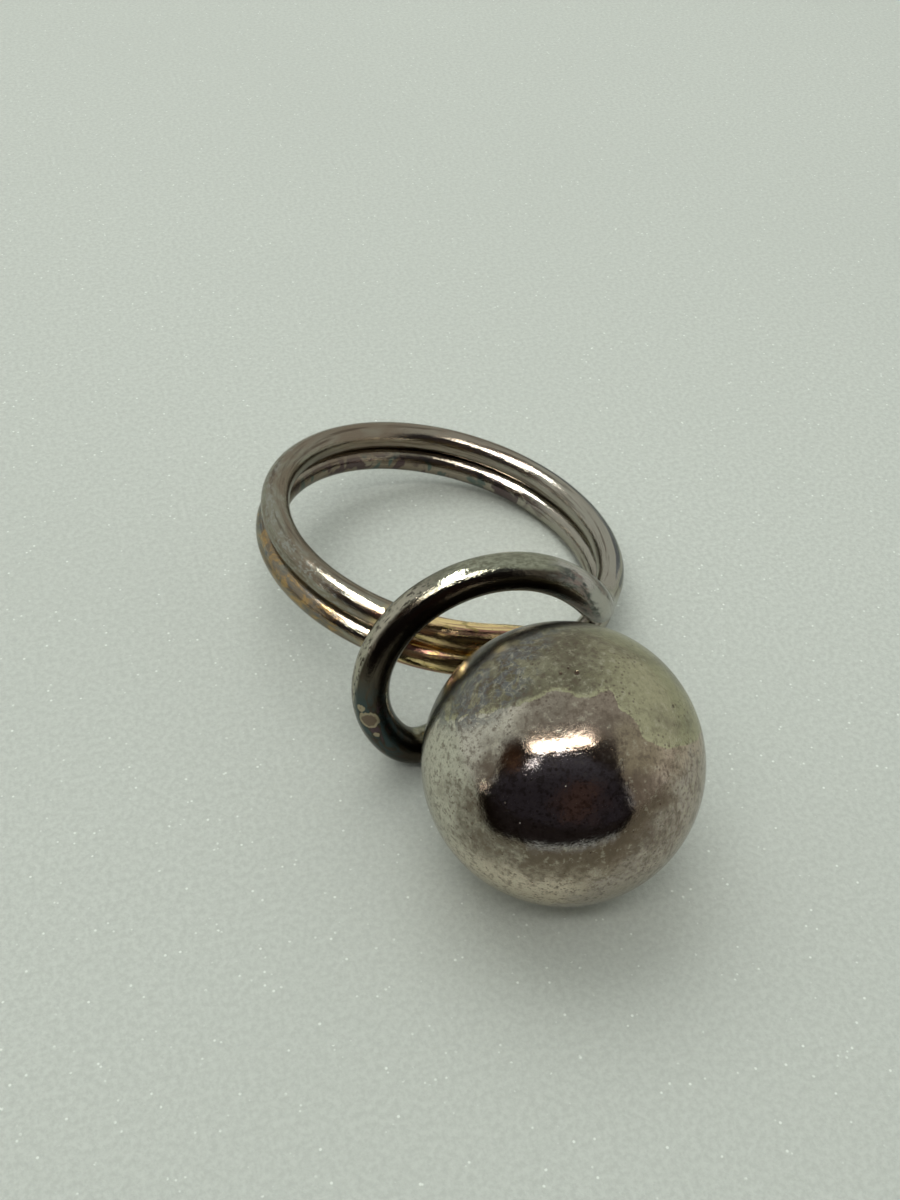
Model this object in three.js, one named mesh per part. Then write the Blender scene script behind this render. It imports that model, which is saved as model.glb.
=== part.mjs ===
// Split key ring with a ball fob, made of one round wire and one hollow ball.
//
// Millimetres, +Z up. It lies on a table at z = 0 on three places: the ball, the underside of the
// arch and the far right of the ring. Seen from above, the ball is at the near end (-Y), the ring
// is at the far end (+Y), and the arch of wire stands between them. The measures below are taken
// with the ball over the origin, and the finished group is then moved to its place.
//
// The wire starts at its flush-cut free end, makes two turns, leaves the ring at its near right side,
// rises into the arch, curls down behind the ball and ends as a peg in the ball's rear shell.

import * as THREE from "three";

// ---- driving dimensions, in millimetres and degrees ----

const BALL_RADIUS = 10;
const BALL_WALL = 0.8;
const SEAM_WIDTH = 0.3;

const RING_WIRE_RADIUS = 1.18;
const ARCH_WIRE_RADIUS = 1.43;
const RISER_WIRE_RADIUS = 1.23;
const RING_RADIUS = 14.75;           // to the centre of the wire
const TURN_PITCH = 2.42;             // between the two turns, 0.06 more than the wire's diameter
const RING_LEAN_RIGHT = 13.4;        // the ring leans down to the right
const RING_LEAN_BACK = 4.6;          // and a little down to the back

const ARCH_CENTRE_LEFT = 2.0;        // the arch is a spiral: its centre, seen from the ring
const ARCH_CENTRE_DOWN = 1.37;
const ARCH_RADIUS = 9.89;            // at its top
const ARCH_CLOSING = 0.0109;         // how much the radius shrinks in each degree
const ARCH_START = -36;              // angles from its top, towards the left
const ARCH_MIDDLE = 50;
const ARCH_END = 138;

// Angles round the ring, from the point next to the ball towards the right.
const FREE_END = -5;
const CROSSOVER_TOP = 1;
const CROSSOVER_BOTTOM = 36;
const BACK = 180;
const LEAVES_RING = 52;

const RISER_PULL_RING = 3.4;         // how long the riser follows the ring, then the arch
const RISER_PULL_ARCH = 3.0;

const PEG_LEFT = 0.7;                // where the wire goes into the ball, from its rear point
const PEG_DOWN = 3.6;
const PEG_DEPTH = 2.4;
const PEG_CLEARANCE = 0.1;
const CURL_PULL_ARCH = 4.5;
const CURL_PULL_PEG = 3.5;
const CURL_STAND_OFF = 0.8;          // straight wire outside the ball
const COLLAR_RADIUS = 2.1;
const COLLAR_HEIGHT = 0.75;

const CUT_GAP = 0.06;                // between neighbouring solids
const WIRE_SIDES = 14;
const BALL_SIDES = 48;
const BALL_RINGS = 9;

// ---- frames of the ring, the arch and the peg ----

const rad = THREE.MathUtils.degToRad;

function along(origin, ...terms) {
  const point = origin.clone();
  for (const [direction, distance] of terms) {
    point.addScaledVector(direction, distance);
  }
  return point;
}

const ballCentre = new THREE.Vector3(0, 0, BALL_RADIUS);

// The ring's axis, leaning to the right and to the back.
const ringAxis = new THREE.Vector3(
  Math.tan(rad(RING_LEAN_RIGHT)),
  Math.tan(rad(RING_LEAN_BACK)),
  1,
).normalize();

// The lower turn's lowest point touches the table. The arch's wire fits between ring and ball.
const ringRise = RING_RADIUS * Math.sqrt(1 - ringAxis.z ** 2) + RING_WIRE_RADIUS;
const ringHeight = ringRise + 0.5 * TURN_PITCH * ringAxis.z;
const ballToRing = BALL_RADIUS + 2 * ARCH_WIRE_RADIUS + RING_WIRE_RADIUS + RING_RADIUS + CUT_GAP;
const ringAway = Math.sqrt(ballToRing ** 2 - (BALL_RADIUS - ringHeight) ** 2);
const ringCentre = new THREE.Vector3(0, ringAway, ringHeight);

const toBall = ballCentre.clone().sub(ringCentre).normalize();
const ringNear = along(toBall, [ringAxis, -toBall.dot(ringAxis)]).normalize();
const ringRight = new THREE.Vector3().crossVectors(ringAxis, ringNear).normalize();

function onRing(degrees, height) {
  const a = rad(degrees);
  return along(
    ringCentre,
    [ringAxis, height],
    [ringNear, RING_RADIUS * Math.cos(a)],
    [ringRight, RING_RADIUS * Math.sin(a)],
  );
}

// The arch's plane is square to the line from ring to ball.
const archUp = along(ringAxis, [toBall, -toBall.dot(ringAxis)]).normalize();
const archLeft = new THREE.Vector3().crossVectors(toBall, archUp).normalize();
const archPlane = along(ballCentre, [toBall, -(BALL_RADIUS + ARCH_WIRE_RADIUS)]);
const archCentre = along(archPlane, [archLeft, ARCH_CENTRE_LEFT], [archUp, -ARCH_CENTRE_DOWN]);

function onArch(degrees) {
  const radius = ARCH_RADIUS - ARCH_CLOSING * degrees;
  const a = rad(degrees);
  return along(archCentre, [archLeft, radius * Math.sin(a)], [archUp, radius * Math.cos(a)]);
}

// The peg points out of the ball along its own radius.
const pegOut = along(
  new THREE.Vector3(),
  [toBall, -BALL_RADIUS],
  [archUp, -PEG_DOWN],
  [archLeft, PEG_LEFT],
).normalize();

// ---- the wire's path ----

const LOWER = -0.5 * TURN_PITCH;
const UPPER = 0.5 * TURN_PITCH;

class Stretch extends THREE.Curve {
  constructor(place) {
    super();
    this.place = place;
  }

  getPoint(t, target = new THREE.Vector3()) {
    return target.copy(this.place(t));
  }
}

function turn(from, to, height) {
  return new Stretch((t) => onRing(THREE.MathUtils.lerp(from, to, t), height));
}

function crossoverPoint(t) {
  const height = THREE.MathUtils.lerp(LOWER, UPPER, THREE.MathUtils.smoothstep(t, 0, 1));
  return onRing(THREE.MathUtils.lerp(CROSSOVER_BOTTOM, CROSSOVER_TOP, t), height);
}

function archBetween(from, to) {
  return new Stretch((t) => onArch(THREE.MathUtils.lerp(from, to, t)));
}

// A smooth bend that leaves one stretch and meets the next in their own directions.
function bend(start, leave, leavePull, end, arrive, arrivePull) {
  return new THREE.CubicBezierCurve3(
    start,
    along(start, [leave, leavePull]),
    along(end, [arrive, -arrivePull]),
    end,
  );
}

const freeTurn = turn(FREE_END, -BACK, LOWER);
const lowerTurn = turn(BACK, CROSSOVER_BOTTOM, LOWER);
const crossover = new Stretch(crossoverPoint);
const upperLeft = turn(CROSSOVER_TOP, -BACK, UPPER);
const upperRight = turn(BACK, LEAVES_RING, UPPER);
const archTop = archBetween(ARCH_START, ARCH_MIDDLE);
const archSide = archBetween(ARCH_MIDDLE, ARCH_END);

const riser = bend(
  upperRight.getPoint(1),
  upperRight.getTangent(1),
  RISER_PULL_RING,
  archTop.getPoint(0),
  archTop.getTangent(0),
  RISER_PULL_ARCH,
);

const pegMouth = along(ballCentre, [pegOut, BALL_RADIUS + CURL_STAND_OFF]);
const pegTip = along(ballCentre, [pegOut, BALL_RADIUS - PEG_DEPTH]);
const pegIn = pegOut.clone().negate();
const curl = bend(
  archSide.getPoint(1),
  archSide.getTangent(1),
  CURL_PULL_ARCH,
  pegMouth,
  pegIn,
  CURL_PULL_PEG,
);
const peg = new THREE.LineCurve3(pegMouth, pegTip);

// ---- solids ----

function circle(radius, sides) {
  const shape = new THREE.Shape();
  for (let i = 0; i < sides; i += 1) {
    const a = (2 * Math.PI * i) / sides;
    const x = radius * Math.cos(a);
    const y = radius * Math.sin(a);
    if (i === 0) {
      shape.moveTo(x, y);
    } else {
      shape.lineTo(x, y);
    }
  }
  shape.closePath();
  return shape;
}

// A length of wire, a little shorter than its stretch so that it clears the next one.
function wire(stretch, radius, steps) {
  const trim = (0.5 * CUT_GAP) / stretch.getLength();
  const cut = new Stretch((t) => stretch.getPointAt(THREE.MathUtils.lerp(trim, 1 - trim, t)));
  return new THREE.ExtrudeGeometry(circle(radius, WIRE_SIDES), {
    steps,
    bevelEnabled: false,
    extrudePath: cut,
  });
}

// A solid of revolution about the peg's line. Heights are measured outwards from the ball's centre.
function turnedOnPeg(profile, sides) {
  const geometry = new THREE.LatheGeometry(profile.map(([r, h]) => new THREE.Vector2(r, h)), sides);
  const turnToPeg = new THREE.Quaternion().setFromUnitVectors(new THREE.Vector3(0, 1, 0), pegOut);
  geometry.applyQuaternion(turnToPeg);
  geometry.translate(ballCentre.x, ballCentre.y, ballCentre.z);
  return geometry;
}

// Points of an arc round the ball's centre, from one latitude to another, seen from the side.
function arc(radius, fromLatitude, toLatitude, count) {
  const points = [];
  for (let i = 0; i <= count; i += 1) {
    const latitude = THREE.MathUtils.lerp(fromLatitude, toLatitude, i / count);
    points.push([radius * Math.cos(latitude), radius * Math.sin(latitude)]);
  }
  return points;
}

const innerRadius = BALL_RADIUS - BALL_WALL;
const pole = 0.5 * Math.PI;

function latitudeAt(height, radius) {
  return Math.asin(height / radius);
}

function latitudeBeside(distance, radius) {
  return Math.acos(distance / radius);
}

// Half of the ball on the side away from the peg: it reaches the axis.
function frontShell() {
  const edge = 0.5 * SEAM_WIDTH + CUT_GAP;
  const outside = arc(BALL_RADIUS, -pole, -latitudeAt(edge, BALL_RADIUS), BALL_RINGS);
  const inside = arc(innerRadius, -latitudeAt(edge, innerRadius), -pole, BALL_RINGS);
  outside[0][0] = 0;
  inside[BALL_RINGS][0] = 0;
  return turnedOnPeg([...outside, ...inside], BALL_SIDES);
}

// The other half, with a hole for the peg at its pole.
function rearShell() {
  const edge = 0.5 * SEAM_WIDTH + CUT_GAP;
  const hole = ARCH_WIRE_RADIUS + PEG_CLEARANCE;
  const outside = arc(
    BALL_RADIUS,
    latitudeAt(edge, BALL_RADIUS),
    latitudeBeside(hole, BALL_RADIUS),
    BALL_RINGS,
  );
  const inside = arc(
    innerRadius,
    latitudeBeside(hole, innerRadius),
    latitudeAt(edge, innerRadius),
    BALL_RINGS,
  );
  return turnedOnPeg([...outside, ...inside, outside[0]], BALL_SIDES);
}

function seamSolder() {
  const half = 0.5 * SEAM_WIDTH;
  const profile = [
    [innerRadius, -half],
    [BALL_RADIUS, -half],
    [BALL_RADIUS, half],
    [innerRadius, half],
    [innerRadius, -half],
  ];
  return turnedOnPeg(profile, BALL_SIDES);
}

// A concave fillet of solder between the ball and the wire.
function pegCollar() {
  const bore = ARCH_WIRE_RADIUS + PEG_CLEARANCE;
  const seat = (r) => Math.sqrt(BALL_RADIUS ** 2 - r ** 2) + CUT_GAP;
  const profile = [
    [bore, seat(bore)],
    [COLLAR_RADIUS, seat(COLLAR_RADIUS)],
    [bore + 0.3 * (COLLAR_RADIUS - bore), seat(bore) + 0.4 * COLLAR_HEIGHT],
    [bore, seat(bore) + COLLAR_HEIGHT],
    [bore, seat(bore)],
  ];
  return turnedOnPeg(profile, BALL_SIDES / 2);
}

// ---- materials ----

function silver(colour, roughness) {
  return new THREE.MeshStandardMaterial({ color: colour, roughness, metalness: 1 });
}

const wireSilver = silver(0x8a8078, 0.3);
const archSilver = silver(0x6f6a66, 0.28);
const ballSilver = silver(0xa8a491, 0.25);
const solderSilver = silver(0xb8b09c, 0.4);

// ---- assembly ----

const model = new THREE.Group();

function add(name, geometry, material) {
  const mesh = new THREE.Mesh(geometry, material);
  mesh.name = name;
  model.add(mesh);
}

add("free_half_turn", wire(freeTurn, RING_WIRE_RADIUS, 22), wireSilver);
add("lower_turn_right", wire(lowerTurn, RING_WIRE_RADIUS, 18), wireSilver);
add("crossover", wire(crossover, RING_WIRE_RADIUS, 8), wireSilver);
add("upper_turn_left", wire(upperLeft, RING_WIRE_RADIUS, 22), wireSilver);
add("upper_turn_right", wire(upperRight, RING_WIRE_RADIUS, 16), wireSilver);
add("arch_riser", wire(riser, RISER_WIRE_RADIUS, 10), archSilver);
add("arch_top", wire(archTop, ARCH_WIRE_RADIUS, 14), archSilver);
add("arch_side", wire(archSide, ARCH_WIRE_RADIUS, 14), archSilver);
add("arch_curl", wire(curl, ARCH_WIRE_RADIUS, 14), archSilver);
add("ball_peg", wire(peg, ARCH_WIRE_RADIUS, 1), archSilver);
add("ball_rear_shell", rearShell(), ballSilver);
add("ball_front_shell", frontShell(), ballSilver);
add("ball_seam_solder", seamSolder(), solderSilver);
add("peg_solder_collar", pegCollar(), solderSilver);

// The origin is under the middle of the whole object, on the table.
const box = new THREE.Box3().setFromObject(model, true);
const foot = box.getCenter(new THREE.Vector3()).setZ(box.min.z);
model.position.copy(foot).negate();

export default model;
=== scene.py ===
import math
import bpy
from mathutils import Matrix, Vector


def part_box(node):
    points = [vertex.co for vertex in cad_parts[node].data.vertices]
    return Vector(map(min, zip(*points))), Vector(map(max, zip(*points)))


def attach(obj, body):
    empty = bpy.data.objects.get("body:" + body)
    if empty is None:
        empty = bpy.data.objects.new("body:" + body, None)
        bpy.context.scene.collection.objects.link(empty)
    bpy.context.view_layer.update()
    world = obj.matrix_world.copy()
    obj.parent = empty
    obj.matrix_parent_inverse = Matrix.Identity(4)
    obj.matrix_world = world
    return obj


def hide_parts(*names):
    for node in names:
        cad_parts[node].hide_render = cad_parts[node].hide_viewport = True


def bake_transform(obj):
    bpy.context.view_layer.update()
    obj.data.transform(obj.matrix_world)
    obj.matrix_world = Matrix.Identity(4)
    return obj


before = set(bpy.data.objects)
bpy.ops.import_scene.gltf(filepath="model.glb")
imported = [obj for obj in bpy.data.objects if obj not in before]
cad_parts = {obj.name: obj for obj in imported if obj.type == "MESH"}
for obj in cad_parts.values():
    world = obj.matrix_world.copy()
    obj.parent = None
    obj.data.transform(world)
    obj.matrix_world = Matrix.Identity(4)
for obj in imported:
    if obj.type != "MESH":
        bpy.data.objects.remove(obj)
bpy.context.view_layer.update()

# Split key ring with a ball fob: one bent silver wire and one hollow ball, both old and tarnished.
# The CAD nodes of the wire are short plain stretches. Here the same path is swept as smooth wire,
# and the ball is turned as fine shells, all in the frame's own place.

from types import SimpleNamespace

import bpy
import numpy as np
from mathutils import Matrix, Vector

MM = 0.001

# ---- driving dimensions, in millimetres and degrees, as in the CAD model ----

BALL_RADIUS = 10.0
BALL_WALL = 0.8
SEAM_WIDTH = 0.3

RING_WIRE_RADIUS = 1.18
ARCH_WIRE_RADIUS = 1.43
RING_RADIUS = 14.75
TURN_PITCH = 2.42
RING_LEAN_RIGHT = 13.4
RING_LEAN_BACK = 4.6
CUT_GAP = 0.06

ARCH_CENTRE_LEFT = 2.0
ARCH_CENTRE_DOWN = 1.37
ARCH_RADIUS = 9.89
ARCH_CLOSING = 0.0109
ARCH_START = -36
ARCH_END = 138

FREE_END = -5
CROSSOVER_TOP = 1
CROSSOVER_BOTTOM = 36
BACK = 180
LEAVES_RING = 52

RISER_PULL_RING = 3.4
RISER_PULL_ARCH = 3.0

PEG_LEFT = 0.7
PEG_DOWN = 3.6
PEG_DEPTH = 2.4
PEG_CLEARANCE = 0.1
CURL_PULL_ARCH = 4.5
CURL_PULL_PEG = 3.5
CURL_STAND_OFF = 0.8
COLLAR_RADIUS = 2.1
COLLAR_HEIGHT = 0.75

# The viewer's place from the ball's centre, the directions that the viewer sees as right and up, and
# the camera's focal length.
VIEW_PLACE = (-29.5, -56.0, 77.75)
VIEW_RIGHT = (0.9544, -0.2948, 0.0476)
VIEW_UP = (0.1762, 0.6846, 0.7073)
VIEW_LENS = 42.17

# ---- places, in millimetres, from the frame ----


def unit(v):
    return v / np.linalg.norm(v)


def box_of(*nodes):
    corners = np.array([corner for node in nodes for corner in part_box(node)])
    return corners.min(axis=0) / MM, corners.max(axis=0) / MM


ball_low, ball_high = box_of("ball_front_shell", "ball_rear_shell", "ball_seam_solder")
ball_centre = 0.5 * (ball_low + ball_high)
ball_centre[2] = BALL_RADIUS

ring_axis = unit(
    np.array([math.tan(math.radians(RING_LEAN_RIGHT)), math.tan(math.radians(RING_LEAN_BACK)), 1.0])
)
ring_rise = RING_RADIUS * math.sqrt(1 - ring_axis[2] ** 2) + RING_WIRE_RADIUS
ring_height = ring_rise + 0.5 * TURN_PITCH * ring_axis[2]
ball_to_ring = BALL_RADIUS + 2 * ARCH_WIRE_RADIUS + RING_WIRE_RADIUS + RING_RADIUS + CUT_GAP
ring_away = math.sqrt(ball_to_ring**2 - (BALL_RADIUS - ring_height) ** 2)
ring_centre = ball_centre + np.array([0.0, ring_away, ring_height - BALL_RADIUS])

to_ball = unit(ball_centre - ring_centre)
ring_near = unit(to_ball - ring_axis * to_ball.dot(ring_axis))
ring_right = unit(np.cross(ring_axis, ring_near))

arch_up = unit(ring_axis - to_ball * to_ball.dot(ring_axis))
arch_left = unit(np.cross(to_ball, arch_up))
arch_plane = ball_centre - to_ball * (BALL_RADIUS + ARCH_WIRE_RADIUS)
arch_centre = arch_plane + arch_left * ARCH_CENTRE_LEFT - arch_up * ARCH_CENTRE_DOWN

peg_out = unit(-to_ball * BALL_RADIUS - arch_up * PEG_DOWN + arch_left * PEG_LEFT)

view_right = unit(np.array(VIEW_RIGHT))
view_back = unit(np.cross(view_right, VIEW_UP))
view_up = np.cross(view_back, view_right)

# ---- the wire's path: rows of points, one for every STEP of length ----

STEP = 0.3


def ring_points(start, end, low, high):
    """The ring from one angle to another, rising smoothly from one height to another."""
    count = int(abs(math.radians(end - start)) * RING_RADIUS / STEP) + 2
    t = np.linspace(0, 1, count)[:, None]
    a = np.radians(start + (end - start) * t)
    height = low + (high - low) * t * t * (3 - 2 * t)
    return ring_centre + ring_axis * height + RING_RADIUS * (ring_near * np.cos(a) + ring_right * np.sin(a))


def arch_points(start, end):
    count = int(abs(math.radians(end - start)) * ARCH_RADIUS / STEP) + 2
    degrees = np.linspace(start, end, count)[:, None]
    radius = ARCH_RADIUS - ARCH_CLOSING * degrees
    a = np.radians(degrees)
    return arch_centre + radius * (arch_left * np.sin(a) + arch_up * np.cos(a))


def bend_points(start, leave, leave_pull, end, arrive, arrive_pull):
    """A smooth bend that leaves one stretch and meets the next in their own directions."""
    a = start + leave * leave_pull
    b = end - arrive * arrive_pull
    count = int((np.linalg.norm(end - start) + leave_pull + arrive_pull) / STEP) + 2
    t = np.linspace(0, 1, count)[:, None]
    return (1 - t) ** 3 * start + 3 * (1 - t) ** 2 * t * a + 3 * (1 - t) * t**2 * b + t**3 * end


def start_direction(points):
    return unit(points[1] - points[0])


def end_direction(points):
    return unit(points[-1] - points[-2])


def joined(*stretches):
    """One row of points from several, without the shared ends twice."""
    return np.concatenate([stretches[0]] + [stretch[1:] for stretch in stretches[1:]])


def even(points, spacing):
    """The same line with points the same distance apart."""
    steps = np.linalg.norm(np.diff(points, axis=0), axis=1)
    length = np.concatenate([[0], np.cumsum(steps)])
    wanted = np.linspace(0, length[-1], int(length[-1] / spacing) + 1)
    return np.stack([np.interp(wanted, length, points[:, i]) for i in range(3)], axis=1)


def eased(points, reach):
    """Takes the sudden changes of bend out of a line. reach is in points; the ends stay."""
    weights = np.hanning(2 * reach + 3)[1:-1]
    weights /= weights.sum()
    first = 2 * points[0] - points[reach:0:-1]
    last = 2 * points[-1] - points[-2 : -reach - 2 : -1]
    padded = np.concatenate([first, points, last])
    return np.stack([np.convolve(padded[:, i], weights, "valid") for i in range(3)], axis=1)


LOWER = -0.5 * TURN_PITCH
UPPER = 0.5 * TURN_PITCH

free_path = ring_points(FREE_END, -BACK, LOWER, LOWER)
lower_path = ring_points(BACK, CROSSOVER_BOTTOM, LOWER, LOWER)
crossover_path = ring_points(CROSSOVER_BOTTOM, CROSSOVER_TOP, LOWER, UPPER)
upper_path = ring_points(CROSSOVER_TOP, LEAVES_RING - 360, UPPER, UPPER)
arch_path = arch_points(ARCH_START, ARCH_END)
riser_path = bend_points(
    upper_path[-1],
    end_direction(upper_path),
    RISER_PULL_RING,
    arch_path[0],
    start_direction(arch_path),
    RISER_PULL_ARCH,
)
peg_mouth = ball_centre + peg_out * (BALL_RADIUS + CURL_STAND_OFF)
peg_tip = ball_centre + peg_out * (BALL_RADIUS - PEG_DEPTH)
curl_path = bend_points(
    arch_path[-1],
    end_direction(arch_path),
    CURL_PULL_ARCH,
    peg_mouth,
    -peg_out,
    CURL_PULL_PEG,
)
peg_path = np.linspace(peg_mouth, peg_tip, 12)

# ---- meshes ----

SHARP_EDGE = math.radians(40)


def new_piece(name, points, faces, material, body="root"):
    """A smooth-shaded piece from points in millimetres, riding on a body."""
    mesh = bpy.data.meshes.new(name)
    mesh.from_pydata([tuple(p) for p in np.asarray(points) * MM], [], faces)
    mesh.update()
    mesh.shade_smooth()
    mesh.set_sharp_from_angle(angle=SHARP_EDGE)
    mesh.materials.append(material)
    piece = bpy.data.objects.new(name, mesh)
    bpy.context.scene.collection.objects.link(piece)
    if body:
        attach(piece, body)
    return piece


def store(piece, name, values):
    """Keeps a number or a vector for each point, for the materials to read."""
    values = np.asarray(values, np.float32)
    if values.ndim == 1:
        piece.data.attributes.new(name, "FLOAT", "POINT").data.foreach_set("value", values)
    else:
        layer = piece.data.attributes.new(name, "FLOAT_VECTOR", "POINT")
        layer.data.foreach_set("vector", values.ravel())


def grid_faces(rows, columns):
    """Quads between rows of points that close on themselves sideways."""
    faces = []
    for i in range(rows - 1):
        here = i * columns
        there = here + columns
        for j in range(columns):
            k = (j + 1) % columns
            faces.append((here + j, here + k, there + k, there + j))
    return faces


def sweep_frames(points):
    """Two directions across the line at each point, which turn as little as possible."""
    along = np.gradient(points, axis=0)
    along /= np.linalg.norm(along, axis=1)[:, None]
    side = unit(np.cross(along[0], ring_axis))
    sides = []
    for direction in along:
        side = unit(side - direction * side.dot(direction))
        sides.append(side)
    sides = np.array(sides)
    return sides, np.cross(along, sides)


WIRE_SIDES = 56
EDGE_ROUNDING = 0.22

# Where the rounded edge gets rows of points of its own, as parts of its rounding.
ROUNDING_ROWS = (0.15, 0.4, 0.7)

# The wire's swells: how many, their shortest and longest wavelength, and the size, as a part of
# the radius, of one with the middle wavelength.
SWELLS = 14
SWELL_SHORTEST = 4
SWELL_LONGEST = 26
SWELL_MIDDLE = 12
SWELL_SIZE = 0.0022


def unevenness(length, angle):
    """Slow swells and flats that a wire drawn, bent and filed by hand has, as parts of its radius."""
    random = np.random.default_rng(3)
    swell = np.zeros(np.broadcast(length, angle).shape)
    for _ in range(SWELLS):
        wavelength = random.uniform(SWELL_SHORTEST, SWELL_LONGEST)
        turns = random.integers(0, 4)
        phase = random.uniform(0, 2 * math.pi)
        size = SWELL_SIZE * (wavelength / SWELL_MIDDLE) ** 0.5
        swell += size * np.sin(2 * math.pi * length / wavelength + turns * angle + phase)
    return swell


def resampled(rows, length, wanted):
    return np.stack([np.interp(wanted, length, rows[:, i]) for i in range(3)], axis=1)


def outwards(points):
    """The direction away from the inside of the bend, at each point of a line."""
    bend = np.gradient(np.gradient(points, axis=0), axis=0)
    bend[0], bend[-1] = bend[2], bend[-3]
    bend[1], bend[-2] = bend[2], bend[-3]
    return -bend / np.maximum(np.linalg.norm(bend, axis=1), 1e-9)[:, None]


def wire_piece(name, path, radius_at, material, body, rounding=0.0, before=0.0):
    """Sweeps a round section along a path and closes both ends.

    radius_at takes lengths along the path. rounding is how much the edge of the first end is rounded.
    before is how much of the same wire comes before this piece, so that the patterns run on."""
    points = even(path, STEP)
    steps = np.linalg.norm(np.diff(points, axis=0), axis=1)
    length = np.concatenate([[0], np.cumsum(steps)])
    side, over = sweep_frames(points)
    outer = outwards(points)
    if rounding:
        wanted = np.unique(np.concatenate([length, np.array(ROUNDING_ROWS) * rounding]))
        old = (points, side, over, outer)
        points, side, over, outer = (resampled(rows, length, wanted) for rows in old)
        length = wanted
    radius = radius_at(length)
    if rounding:
        inside = np.clip(rounding - length, 0, rounding)
        radius = radius - (rounding - np.sqrt(rounding**2 - inside**2))
    angle = np.linspace(0, 2 * math.pi, WIRE_SIDES, endpoint=False)
    swell = 1 + unevenness(length[:, None] + before, angle[None, :])
    section = side[:, None] * np.cos(angle)[None, :, None] + over[:, None] * np.sin(angle)[None, :, None]
    skin = (points[:, None] + (radius[:, None] * swell)[..., None] * section).reshape(-1, 3)
    rows = len(points)
    faces = grid_faces(rows, WIRE_SIDES)
    faces.append(tuple(reversed(range(WIRE_SIDES))))
    faces.append(tuple((rows - 1) * WIRE_SIDES + j for j in range(WIRE_SIDES)))
    piece = new_piece(name, skin, faces, material, body)
    around = radius[:, None, None] * np.stack([np.cos(angle), np.sin(angle)], axis=1)[None]
    along = np.repeat(length[:, None, None] + before, WIRE_SIDES, axis=1)
    thick = (radius_at(length) - RING_WIRE_RADIUS) / (ARCH_WIRE_RADIUS - RING_WIRE_RADIUS)
    store(piece, "lay", np.concatenate([around, along], axis=2).reshape(-1, 3))
    store(piece, "place", skin)
    store(piece, "facing", section.reshape(-1, 3))
    store(piece, "outer", (section * outer[:, None]).sum(axis=2).ravel())
    store(piece, "arch", np.repeat(np.clip(thick, 0, 1), WIRE_SIDES))
    return piece


# ---- colours, as linear red, green and blue ----

EDGE_TINT = (0.80, 0.79, 0.76)

RING_BROWN = (0.225, 0.185, 0.135)
RING_GREY = (0.30, 0.29, 0.23)
RING_PALE = (0.40, 0.38, 0.325)
RING_BACK = (0.24, 0.19, 0.145)
RING_STREAK = (0.105, 0.078, 0.055)
INSIDE_TEAL = (0.07, 0.12, 0.115)
INSIDE_PLUM = (0.065, 0.04, 0.05)
LEFT_AMBER = (0.46, 0.30, 0.12)
LEFT_SLATE = (0.12, 0.14, 0.155)
LEFT_SILVER = (0.35, 0.35, 0.31)
RIGHT_BLUE = (0.09, 0.105, 0.12)
HEAT_GOLD = (0.92, 0.72, 0.36)
HEAT_COPPER = (0.32, 0.155, 0.12)
HEAT_OLIVE = (0.34, 0.27, 0.09)
WIRE_SPECK = (0.09, 0.07, 0.055)

# The arch's black and brown are dark tarnish, made darker still as painted shade and dark reflection. Its
# top colours are olive tarnish, made paler as a painted reflection of the pale tent top.
ARCH_BLACK_AND_SHADE = (0.050, 0.040, 0.029)
ARCH_BROWN = (0.085, 0.072, 0.053)
ARCH_TOP_PALE_SHEEN = (0.33, 0.335, 0.255)
ARCH_TOP_DARK = (0.215, 0.215, 0.155)
ARCH_WORN = (0.44, 0.41, 0.33)
ARCH_TEAL = (0.05, 0.078, 0.083)
ARCH_PLUM = (0.09, 0.06, 0.07)
BLISTER_RIM = (0.36, 0.305, 0.21)
BLISTER_HOLLOW = (0.13, 0.09, 0.07)
HAIRPIN_DARK = (0.095, 0.10, 0.09)
HAIRPIN_PINK = (0.27, 0.215, 0.19)
HAIRPIN_GREY = (0.28, 0.285, 0.25)
HAIRPIN_RIDGE = (0.52, 0.505, 0.455)

BALL_LEFT = (0.60, 0.575, 0.485)
BALL_RIGHT = (0.56, 0.455, 0.365)
BALL_BELOW = (0.73, 0.635, 0.505)
LILAC = (0.44, 0.385, 0.355)
LILAC_NET = (0.55, 0.50, 0.38)
# Painted reflection: a brown fringe round the mirrored dark front of the ball, and a neutral tint under
# that reflection.
MIRRORED_FRINGE_BROWN = (0.105, 0.074, 0.050)
MIRRORED_FRONT_TINT = (0.42, 0.39, 0.39)
SMUDGE_MAUVE = (0.18, 0.145, 0.115)
BAR_BROWN = (0.21, 0.155, 0.125)
PATCH_BEIGE = (0.36, 0.30, 0.20)
BLOOM_OLIVE = (0.29, 0.275, 0.19)
BLOOM_DARK = (0.155, 0.14, 0.092)
BLOOM_CREAM = (0.43, 0.41, 0.265)
BLOOM_SHADE = (0.22, 0.20, 0.14)
BLOOM_RIM = (0.50, 0.485, 0.31)
MOTTLE_BLUE = (0.17, 0.175, 0.175)
MOTTLE_NET = (0.44, 0.43, 0.33)
FRECKLE_DARK = (0.145, 0.112, 0.085)
FRECKLE_PALE = (0.60, 0.565, 0.45)
DOT_BROWN = (0.12, 0.085, 0.065)
DUST_BROWN = (0.17, 0.135, 0.105)
PIT_RED = (0.07, 0.035, 0.028)
# Black tarnish round the joint, and a painted reflection of the dark arch on the ball's rim.
JOINT_BLACK_AND_ARCH_REFLECTION = (0.030, 0.023, 0.017)

SOLDER_PALE = (0.42, 0.39, 0.31)
SOLDER_DARK = (0.20, 0.16, 0.125)

# ---- node helpers ----


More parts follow.
